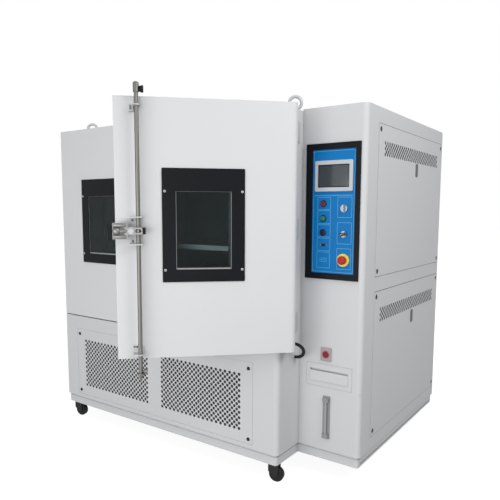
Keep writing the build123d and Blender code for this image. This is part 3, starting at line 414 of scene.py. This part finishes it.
def plate(name, outline, holes, thick, place):
    # A flat sheet with holes, thick millimetres deep; place(u, v, w) gives the point in the frame.
    points = [Vector(p) for p in outline]
    loops = [list(range(len(points)))]
    for hole in holes:
        start = len(points)
        points += [Vector(p) for p in hole]
        loops.append(list(range(start, len(points))))
    edges = [(loop[k], loop[(k + 1) % len(loop)]) for loop in loops for k in range(len(loop))]
    # Which hole each point belongs to; each point of the outline counts as its own
    owner = [-1 - k for k in range(len(outline))]
    for number, hole in enumerate(holes):
        owner += [number] * len(hole)
    verts, _, faces, origins, _, _ = delaunay_2d_cdt(points, edges, [], 1, 1e-5)
    mesh_bm = bmesh.new()
    front = [mesh_bm.verts.new(place(v[0], v[1], 0)) for v in verts]
    back = [mesh_bm.verts.new(place(v[0], v[1], thick)) for v in verts]
    sides = {}
    for face in faces:
        owners = {owner[origins[i][0]] if origins[i] else -1 - len(points) - i for i in face}
        if len(owners) == 1 and min(owners) >= 0:
            continue
        mesh_bm.faces.new([front[i] for i in face])
        mesh_bm.faces.new([back[i] for i in reversed(face)])
        for k in range(len(face)):
            a, b = face[k], face[(k + 1) % len(face)]
            if (b, a) in sides:
                sides.pop((b, a))
            else:
                sides[(a, b)] = True
    for a, b in sides:
        mesh_bm.faces.new([front[b], front[a], back[a], back[b]])
    return finished(mesh_bm, name)


def lathe(name, profile, place, count=28):
    # A turned form: profile is (radius, height) pairs; place(u, v, w) puts it with its axis along w.
    mesh_bm = bmesh.new()
    rings = []
    for r, h in profile:
        if r < 1e-6:
            rings.append([mesh_bm.verts.new(place(0, 0, h))])
        else:
            rings.append([mesh_bm.verts.new(place(u, v, h)) for u, v in ring_points(0, 0, r, count)])
    for low, high in zip(rings, rings[1:]):
        for k in range(count):
            a, b = low[k % len(low)], low[(k + 1) % len(low)]
            c, d = high[(k + 1) % len(high)], high[k % len(high)]
            corners = []
            for vert in (a, b, c, d):
                if vert not in corners:
                    corners.append(vert)
            if len(corners) > 2:
                mesh_bm.faces.new(corners)
    return finished(mesh_bm, name)


def joined(name, meshes):
    # Several meshes as one.
    mesh_bm = bmesh.new()
    for mesh in meshes:
        mesh_bm.from_mesh(mesh)
        bpy.data.meshes.remove(mesh)
    mesh = bpy.data.meshes.new(name)
    mesh_bm.to_mesh(mesh)
    mesh_bm.free()
    return mesh


def front_of(x, y, z):
    # A local frame on a face that looks to the front: u right, v up, w out of the face.
    return lambda u, v, w: at(x + u, y - w, z + v)


def into(x, y, z):
    # The same, but w runs into the face.
    return lambda u, v, w: at(x + u, y + w, z + v)


def right_of(x, y, z):
    # A local frame on a face that looks to the right: u to the back, v up, w out of the face.
    return lambda u, v, w: at(x + w, y + u, z + v)


def screw(place, r):
    # A pan head with a cross recess; the recess is a thin cross laid on the head, coloured dark where it is used,
    # as painted shade.
    profile = [(r, 0), (r, r * 0.22), (r * 0.86, r * 0.42), (r * 0.5, r * 0.56), (0, r * 0.6)]
    head = lathe("head", profile, place, 20)
    recess = []
    for turn in (0, 1):
        a, b = (r * 0.62, r * 0.13) if turn else (r * 0.13, r * 0.62)
        outline = [(-a, -b), (a, -b), (a, b), (-a, b)]
        recess.append(plate("recess", outline, [], r * 0.12, lambda u, v, w: place(u, v, r * 0.56 + w)))
    return head, recess


# ---- Perforated panels


def staggered(u0, u1, v0, v1, across, down, radius, sides=10):
    # Round holes on a staggered grid that fills a rectangle from edge to edge.
    holes = []
    for i in range(across + 1):
        for j in range(down + 1):
            if (i + j) % 2 == 0:
                u = u0 + radius + i * (u1 - u0 - 2 * radius) / across
                v = v0 + radius + j * (v1 - v0 - 2 * radius) / down
                holes.append(ring_points(u, v, radius, sides))
    return holes


(panel_x, _, panel_z), (panel_w, _, panel_h) = box_mm("front_access_panel")
field, grille_shade_sheets = [], []
for u0 in GRILLE_LEFTS:
    u1, v0, v1 = u0 + GRILLE_W, GRILLE_Z, GRILLE_Z + GRILLE_H
    field += staggered(u0, u1, v0, v1, *GRILLE_STEPS, FRONT_HOLE_R)
    # A dark sheet of painted shade behind each field of holes
    outline = rounded(u0 - GRILLE_LAP, u1 + GRILLE_LAP, v0 - GRILLE_LAP, v1 + GRILLE_LAP, 3, 2)
    grille_shade_sheets.append(plate("mat", outline, [], 1.6, into(panel_x, SHEET + 0.2, panel_z)))
outline = rounded(0, panel_w, 0, panel_h, 3, 2)
mesh = plate("front_grille_panel", outline, field, SHEET, into(panel_x, 0, panel_z))
grille = piece("front_grille_panel", mesh, looks["painted_shell"], "chassis")
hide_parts("front_access_panel")

vent_shade_sheets, slot_shades = [], []
for name, slot_down, vent_down in SIDE_PANELS:
    (x, y, z), (_, wide, tall) = box_mm(name + "_side_panel")
    u0, u1, v1 = VENT_FRONT, wide - VENT_BACK, tall - vent_down
    v0 = v1 - VENT_H
    slot_u, slot_v = wide * SLOT_ALONG, tall - slot_down
    holes = staggered(u0, u1, v0, v1, *VENT_STEPS, SIDE_HOLE_R)
    holes.append(around(slot_u, slot_v, SLOT_HALF_W, SLOT_HALF_H, 9))
    for u in (SIDE_SCREW_IN, wide - SIDE_SCREW_IN):
        for v in (SIDE_SCREW_UP, tall - SIDE_SCREW_UP):
            holes.append(ring_points(u, v, SIDE_SCREW_HOLE_R, 20))
    outline = rounded(0, wide, 0, tall, 3, 2)
    opening = rounded(RIM_W, wide - RIM_W, RIM_H, tall - RIM_H, 2, 2)
    rim = plate("rim", outline, [opening], 1.0, right_of(x, y, z))
    sheet = plate("sheet", outline, holes, SHEET, right_of(x + 1.0, y, z))
    mesh = joined(name + "_vent_panel", [sheet, rim])
    vent = piece(name + "_vent_panel", mesh, looks["painted_shell"], "chassis")
    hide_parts(name + "_side_panel")

    # Here w runs into the cabinet
    inside = lambda u, v, w: at(x + 0.8 - w, y + u, z + v)
    # Dark sheets of painted shade behind the vent holes and the hand slot
    outline = rounded(u0 - VENT_LAP, u1 + VENT_LAP, v0 - VENT_LAP, v1 + VENT_LAP, 3, 2)
    vent_shade_sheets.append(plate("mat", outline, [], 0.7, inside))
    outline = around(slot_u, slot_v, SLOT_HALF_W + VENT_LAP, SLOT_HALF_H + VENT_LAP, 10)
    slot_shades.append(plate("slot_shade", outline, [], 0.7, inside))

# Painted shade: dark sheets behind the perforations and in each hand slot stand in for the shade inside the
# cabinet
piece("grille_shade_sheets", joined("grille_shade_sheets", grille_shade_sheets), dark_hole, "chassis")
piece("vent_shade_sheets", joined("vent_shade_sheets", vent_shade_sheets), dark_hole, "chassis")
piece("hand_slot_shades", joined("hand_slot_shades", slot_shades), slot_shade_grey, "chassis")

# ---- Screws and shadow lines on the panels

heads = []
recess_shades = []


def panel_screw(place, r=PANEL_SCREW_R, flat=1.0):
    # Adds a screw to the heads and recesses being gathered; flat squeezes its height.
    head, recess = screw(lambda u, v, w: place(u, v, w * flat), r)
    heads.append(head)
    recess_shades.extend(recess)


for u in (24, panel_w - 25):
    for v in (24, panel_h - 31):
        panel_screw(front_of(panel_x + u, 0, panel_z + v))
for name, _, _ in SIDE_PANELS:
    (x, y, z), (thick, wide, tall) = box_mm(name + "_side_panel")
    for u in (SIDE_SCREW_IN, wide - SIDE_SCREW_IN):
        for v in (SIDE_SCREW_UP, tall - SIDE_SCREW_UP):
            panel_screw(right_of(x + thick - SHEET, y + u, z + v), SIDE_SCREW_R, SIDE_SCREW_FLAT)

# Painted shadow lines: thin dark strips round the side panels and along the plinth's right side
shadow_lines = []
for name, at_top in (("upper", False), ("lower", True), ("upper", True), ("lower", False)):
    (x, y, z), (_, wide, tall) = box_mm(name + "_side_panel")
    z = z + tall + 0.2 if at_top else z - 3.2
    outline = rounded(0, wide, 0, 3, 1, 1)
    shadow_lines.append(plate("shadow_line", outline, [], LINE_THICK, right_of(x + LINE_OUT, y, z)))
(x, y, z), (wide, deep, tall) = box_mm("plinth")
y0 = box_mm("control_cabinet")[0][1] + PLINTH_LINE_IN
y1 = y + deep - PLINTH_LINE_IN
for up, thick in ((12, 5), (tall - 6, 3)):
    outline = rounded(y0, y1, 0, thick, 1, 1)
    shadow_lines.append(plate("shadow_line", outline, [], LINE_THICK, right_of(x + wide + LINE_OUT, 0, z + up)))
piece("panel_shadow_lines", joined("panel_shadow_lines", shadow_lines), shadow_line_grey, "chassis")
piece("panel_screws", joined("panel_screws", heads), screw_black, "chassis")
# Painted shade: the cross recesses are dark crosses laid on the heads
piece("panel_screw_recesses", joined("panel_screw_recesses", recess_shades), dark_hole, "chassis")

# ---- Window screws

left_x, window_front, window_mid = front_middle("left_window_frame")
window_wide = box_mm("left_window_frame")[1][0]
WINDOWS = (("left", left_x), ("right", RIGHT_WINDOW_X))
for side, x in WINDOWS:
    heads, recess_shades = [], []
    for u in (-window_wide / 2 + WINDOW_SCREW_IN, window_wide / 2 - WINDOW_SCREW_IN):
        for v in WINDOW_SCREW_UPS:
            panel_screw(front_of(x + u, window_front, window_mid + v), WINDOW_SCREW_R)
    body, turned = side + "_door", side == "right"
    mesh = joined("window_screws", heads)
    piece(side + "_window_screws", mesh, screw_bright, body, turned)
    # Painted shade: the cross recesses are dark crosses laid on the heads
    mesh = joined("recesses", recess_shades)
    piece(side + "_window_screw_recesses", mesh, dark_hole, body, turned)

# ---- Control fascia: printed frames, sounder, data socket, screws and switches

(face_x, _, face_z), (face_w, _, face_h) = box_mm("control_fascia")
(_, y, _), (_, deep, _) = box_mm("control_frame")
sheet_y = y + deep - 4.0  # the printed sheet's front
lines = []


def printed(u0, u1, v0, v1, line=1.6, r=4):
    # A thin printed frame on the fascia.
    inner = rounded(u0 + line, u1 - line, v0 + line, v1 - line, max(0.5, r - line))
    outline = rounded(u0, u1, v0, v1, r)
    lines.append(plate("line", outline, [inner], 0.15, into(face_x, sheet_y - 0.15, face_z)))


printed(5, face_w - 5, 6, face_h - 6, 1.6, 6)
printed(14, face_w - 14, 363, 366, 1.2, 1.2)
for (u0, u1), spans in PRINTED_COLUMNS:
    for v0, v1 in spans:
        printed(u0, u1, v0, v1)
piece("fascia_lines", joined("fascia_lines", lines), light_line, "chassis")

dots = []
for i in range(-2, 3):
    for j in (-1, 0, 1):
        outline = ring_points(DOT_MID + DOT_STEP * i, DOT_MID + DOT_STEP * j, DOT_R, 8)
        dots.append(plate("dot", outline, [], 0.2, into(face_x, sheet_y - 0.2, face_z)))
piece("sounder_holes", joined("sounder_holes", dots), light_line, "chassis")

opening = rounded(56, 68, 129.5, 136.5, 1)
mesh = plate(
    "data_socket", rounded(53, 71, 127, 139, 3), [opening], 2.0, into(face_x, sheet_y - 2, face_z)
)
piece("data_socket", mesh, looks["dark_plastic"], "chassis")
# Painted shade: a dark sheet inside the socket's opening
mesh = plate("data_socket_inside", opening, [], 0.5, into(face_x, sheet_y - 0.6, face_z))
piece("data_socket_inside", mesh, dark_hole, "chassis")

(x, y, z), (wide, _, tall) = box_mm("touch_screen")
outline = rounded(0, wide, 0, tall, 1, 1)
opening = rounded(4, wide - 4, 4, tall - 4, 1, 1)
mesh = plate("screen_border", outline, [opening], 0.2, into(x, y - 0.25, z))
piece("screen_border", mesh, looks["black_trim"], "chassis")

x, y, z = front_middle("indicator_plate")
lens_r = box_mm("indicator_lens")[1][0] / 2
outline = ring_points(0, 0, lens_r + 5, 32)
opening = ring_points(0, 0, lens_r + 0.6, 32)
mesh = plate("indicator_print", outline, [opening], 0.15, into(x, y - 0.2, z))
piece("indicator_print", mesh, print_red, "chassis")

heads, recess_shades = [], []
for v in (10, face_h / 2 + 2, face_h - 10):
    for u in (5, face_w - 5):
        panel_screw(front_of(face_x + u, sheet_y, face_z + v), FASCIA_SCREW_R)
for u in (46, 78):
    panel_screw(front_of(face_x + u, sheet_y, face_z + SOCKET_UP), SOCKET_SCREW_R)
piece("fascia_screws", joined("fascia_screws", heads), chrome, "chassis")
# Painted shade: the cross recesses are dark crosses laid on the heads
piece("fascia_screw_recesses", joined("fascia_screw_recesses", recess_shades), dark_hole, "chassis")

key_at = front_of(*front_middle("key_switch"))
mesh = lathe("key_centre", [(9.2, 0), (9.2, 0.35), (0, 0.45)], key_at, 24)
piece("key_centre", mesh, dark_hole, "key_switch")
slit = []
for u, v in [(-1.6, -6.2), (1.6, -6.2), (1.6, 6.2), (-1.6, 6.2)]:
    slit.append((u * cos(KEY_TILT) - v * sin(KEY_TILT), u * sin(KEY_TILT) + v * cos(KEY_TILT)))
mesh = plate("key_slit", slit, [], 0.3, lambda u, v, w: key_at(u, v, 0.45 + w))
piece("key_slit", mesh, chrome, "key_switch")

rings = []
for name in ("stop", "start", "light"):
    x, _, z = front_middle(name + "_button")
    rings.append(lathe("ring", COLLAR_PROFILE, front_of(x, sheet_y, z)))
mesh = joined("button_collars", rings)
piece("button_collars", mesh, looks["dark_plastic"], "chassis", smooth=True)

# ---- Glass edge strips, lever details and roller sleeves

half_w, half_h = GLASS_HALF
outline = rounded(-half_w, half_w, -half_h, half_h, 1, 1)
opening = rounded(-half_w + 2.4, half_w - 2.4, -half_h + 6, half_h - 0.8, 0.5, 1)
for side, x in WINDOWS:
    strip = plate("strip", outline, [opening], 0.25, into(x, -0.05, window_mid - GLASS_DROP))
    piece(side + "_glass_edge", strip, edge_strip, side + "_door", side == "right")

outline = rounded(DOOR_EDGE_X - 5, DOOR_EDGE_X + 45, LEVER_Z - 20, LEVER_Z + 20, 1, 1)
mesh = plate("lever_backing", outline, [], 1.0, into(0, -49.6, 0))
piece("lever_backing", mesh, lever_grey, "lock_lever", True)
bars = []
for up in (-24, 0, 24):
    # A bar along x, flattened from front to back
    across = lambda u, v, w: at(DOOR_EDGE_X - 4 + w, -58.5 + 0.55 * u, LEVER_Z + up + v)
    bars.append(lathe("bar", BAR_PROFILE, across, 20))
piece("lever_bars", joined("lever_bars", bars), lever_steel, "lock_lever", True, True)
mesh = lathe("dome", DOME_PROFILE, front_of(DOOR_EDGE_X + 9, -62.5, LEVER_Z), 32)
piece("lever_dome", mesh, lever_steel, "lock_lever", True, True)

(_, _, z), (_, _, tall) = box_mm("lock_rod")
sleeves = []
for up in (z + tall - 29, LEVER_Z):
    sleeves.append(lathe("sleeve", SLEEVE_PROFILE, right_of(ROD_X, ROD_Y, up), 24))
mesh = joined("rod_roller_sleeves", sleeves)
piece("rod_roller_sleeves", mesh, looks["black_rubber"], "lock_rod", True, True)

heads, recess_shades = [], []
for x, z in (
    (ROD_X - 26, LEVER_Z + 44), (ROD_X - 26, LEVER_Z - 44),
    (ROD_X - 27, DOOR_FOOT_Z + 54), (ROD_X - 16, DOOR_FOOT_Z + 54)
):
    panel_screw(front_of(x, -5.3, z), ROD_SCREW_R)
piece("rod_screws", joined("rod_screws", heads), lever_steel, "right_door", True)
# Painted shade: the cross recesses are dark crosses laid on the heads
piece("rod_screw_recesses", joined("rod_screw_recesses", recess_shades), dark_hole, "right_door", True)

# ---- Ribbed conduit between the door and the base housing

start = SWING @ at(0.3, 70, 693)
out = (SWING.to_3x3() @ Vector((1, 0, 0))).normalized()
end = at(0.3, 156, 604)
route = [start, start + out * LEAD_OUT, at(86, 138, 655), end + Vector((LEAD_IN, 0, 0)), end]


def along(points, t):
    # A point on the smooth curve that the route's points steer.
    rest = list(points)
    while len(rest) > 1:
        rest = [a.lerp(b, t) for a, b in zip(rest, rest[1:])]
    return rest[0]


mesh_bm = bmesh.new()
rings = []
for k in range(CONDUIT_STEPS + 1):
    t = k / CONDUIT_STEPS
    centre = along(route, t)
    ahead = (along(route, min(1, t + 0.01)) - along(route, max(0, t - 0.01))).normalized()
    side = ahead.cross(Vector((0, 0, 1))).normalized()
    lift = side.cross(ahead)
    r = RIB_R if k % 4 < 2 else GROOVE_R
    loop = ring_points(0, 0, r, CONDUIT_SIDES)
    rings.append([mesh_bm.verts.new(centre + side * u + lift * v) for u, v in loop])
for a, b in zip(rings, rings[1:]):
    for k in range(CONDUIT_SIDES):
        after = (k + 1) % CONDUIT_SIDES
        mesh_bm.faces.new([a[k], a[after], b[after], b[k]])
mesh_bm.faces.new(list(reversed(rings[0])))
mesh_bm.faces.new(rings[-1])
mesh = finished(mesh_bm, "ribbed_conduit")
mesh.materials.append(looks["conduit"])
conduit = bpy.data.objects.new("ribbed_conduit", mesh)
bpy.context.scene.collection.objects.link(conduit)
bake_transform(conduit)
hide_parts("door_conduit")

# ---- Floor, light and camera

scene = bpy.context.scene
scene.view_settings.view_transform = "Standard"

FLOOR_TONE, FLOOR_LIFT, FLOOR_HALF = 0.20, 0.92, 40
DIM_SIDE = (0.80, 0.52, -0.30)  # where the world sheds least light, at the back right
ROOM_BRIGHT, ROOM_DIM = 0.95, 0.12


def seen_directly(tree):
    # One where a ray comes from the camera, from a mirror-like surface or through glass.
    rays = add(tree, "LightPath").outputs
    either = maths(tree, "MAXIMUM", rays["Is Camera Ray"], rays["Is Transmission Ray"])
    return maths(tree, "MAXIMUM", either, rays["Is Glossy Ray"])


def backdrop_material():
    # A floor that shows white where it is seen directly and keeps the shadow.
    mat = bpy.data.materials.new("floor")
    mat.use_nodes = True
    tree = mat.node_tree
    values = {
        "Base Color": (FLOOR_TONE, FLOOR_TONE, FLOOR_TONE, 1),
        "Roughness": 0.95,
        "Specular IOR Level": 0.0,
        "Emission Color": (1, 1, 1, 1),
        "Emission Strength": maths(tree, "MULTIPLY", seen_directly(tree), FLOOR_LIFT),
    }
    for key, source in values.items():
        feed(tree, source, tree.nodes["Principled BSDF"].inputs[key])
    return mat


floor_mesh = bpy.data.meshes.new("floor")
corners = [(-FLOOR_HALF, -FLOOR_HALF, 0), (FLOOR_HALF, -FLOOR_HALF, 0)]
corners += [(FLOOR_HALF, FLOOR_HALF, 0), (-FLOOR_HALF, FLOOR_HALF, 0)]
floor_mesh.from_pydata(corners, [], [(0, 1, 2, 3)])
floor_mesh.materials.append(backdrop_material())
floor = bpy.data.objects.new("floor", floor_mesh)
scene.collection.objects.link(floor)

# The world is white where it is seen directly; as light it is weaker on its dim side
world = bpy.data.worlds.new("studio")
scene.world = world
world.use_nodes = True
tree = world.node_tree
background = tree.nodes["Background"]
background.inputs["Color"].default_value = (1, 1, 1, 1)
facing = maths(tree, "DOT_PRODUCT", add(tree, "TexCoord").outputs["Generated"], DIM_SIDE, "VectorMath")
room = add(tree, "MapRange", From_Min=-1.0, From_Max=1.0, To_Min=ROOM_BRIGHT, To_Max=ROOM_DIM, Value=facing)
level = add(tree, "MapRange", To_Min=room.outputs["Result"], To_Max=1.0, Value=seen_directly(tree))
feed(tree, level.outputs["Result"], background.inputs["Strength"])


def softbox(name, place, aim, size, watts):
    # A rectangular lamp at a place, turned towards a point.
    lamp = bpy.data.lights.new(name, "AREA")
    lamp.shape = "RECTANGLE"
    lamp.size, lamp.size_y = size
    lamp.energy = watts
    obj = bpy.data.objects.new(name, lamp)
    obj.location = place
    obj.rotation_euler = (Vector(aim) - Vector(place)).to_track_quat("-Z", "Y").to_euler()
    scene.collection.objects.link(obj)


softbox("key", (3.2, -0.7, 2.9), (0.98, 0.1, 1.2), (1.6, 1.2), 46)
softbox("fill", (0.9, -3.9, 0.95), (0.2, -0.4, 0.9), (3.8, 1.6), 74)
softbox("top", (0, 0.5, 6.0), (0, 0, 0.9), (4, 4), 40)
softbox("rear", (-0.6, 5.0, 2.2), (0, 0.4, 0.9), (3, 2), 45)

YAW, PITCH, ROLL = radians(35.14), radians(6.19), radians(-0.24)
FOCAL_PX, CENTRE_Y = 538.56, 269.84
IMAGE = 500
CAMERA_AT = (1304.5, -2083.7, 1312.3)
SENSOR = 36
forward = Vector((-sin(YAW) * cos(PITCH), cos(YAW) * cos(PITCH), -sin(PITCH)))
right = Vector((cos(YAW), sin(YAW), 0))
up = right.cross(forward)
lens = bpy.data.cameras.new("camera")
lens.sensor_width = SENSOR
lens.lens = SENSOR * FOCAL_PX / IMAGE
lens.shift_y = (CENTRE_Y - IMAGE / 2) / IMAGE
camera = bpy.data.objects.new("camera", lens)
turn = Matrix((right, up, -forward)).transposed() @ Matrix.Rotation(-ROLL, 3, "Z")
camera.matrix_world = Matrix.Translation(at(*CAMERA_AT)) @ turn.to_4x4()
scene.collection.objects.link(camera)
scene.camera = camera
